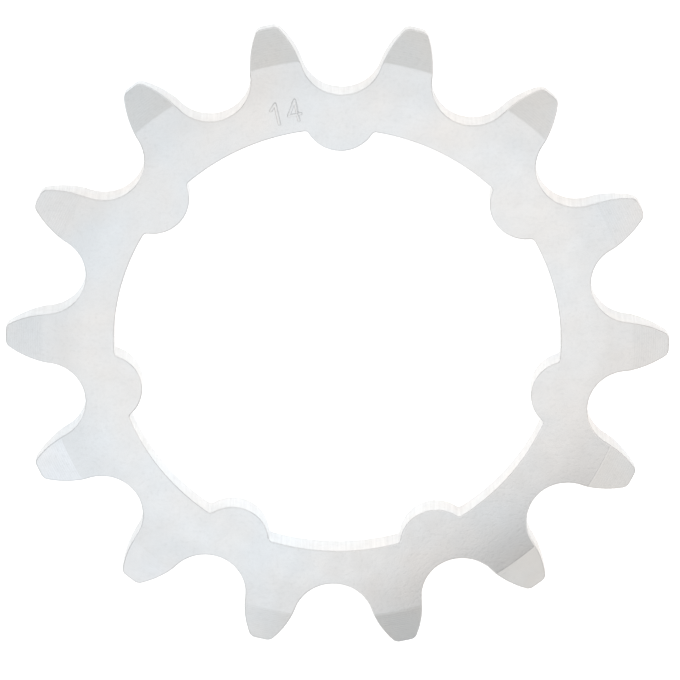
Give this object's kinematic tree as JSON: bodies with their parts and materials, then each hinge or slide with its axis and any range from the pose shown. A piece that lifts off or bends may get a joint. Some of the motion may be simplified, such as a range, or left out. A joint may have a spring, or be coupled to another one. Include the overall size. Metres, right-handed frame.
{
  "type": "single speed cog",
  "caption": "Flat toothed ring with bevelled tooth tips and half-round lugs in its bore; it slides onto a splined hub carrier and is driven by a roller chain.",
  "frame": {"origin": "on the cog's axis, in the plane of its back face, on which it lies", "axes": "+Z along the axis from the back face to the front face; +Y through the middle of one tooth gap and of one lug; +X through the middle of a tooth"},
  "size_m": [0.0632, 0.0618, 0.0028],
  "materials": {
    "plated_steel": "satin nickel plating over tumbled steel, with turned bevels at the tooth tips"
  },
  "bodies": {
    "root": {"cog": "plated_steel"}
  },
  "joints": []
}
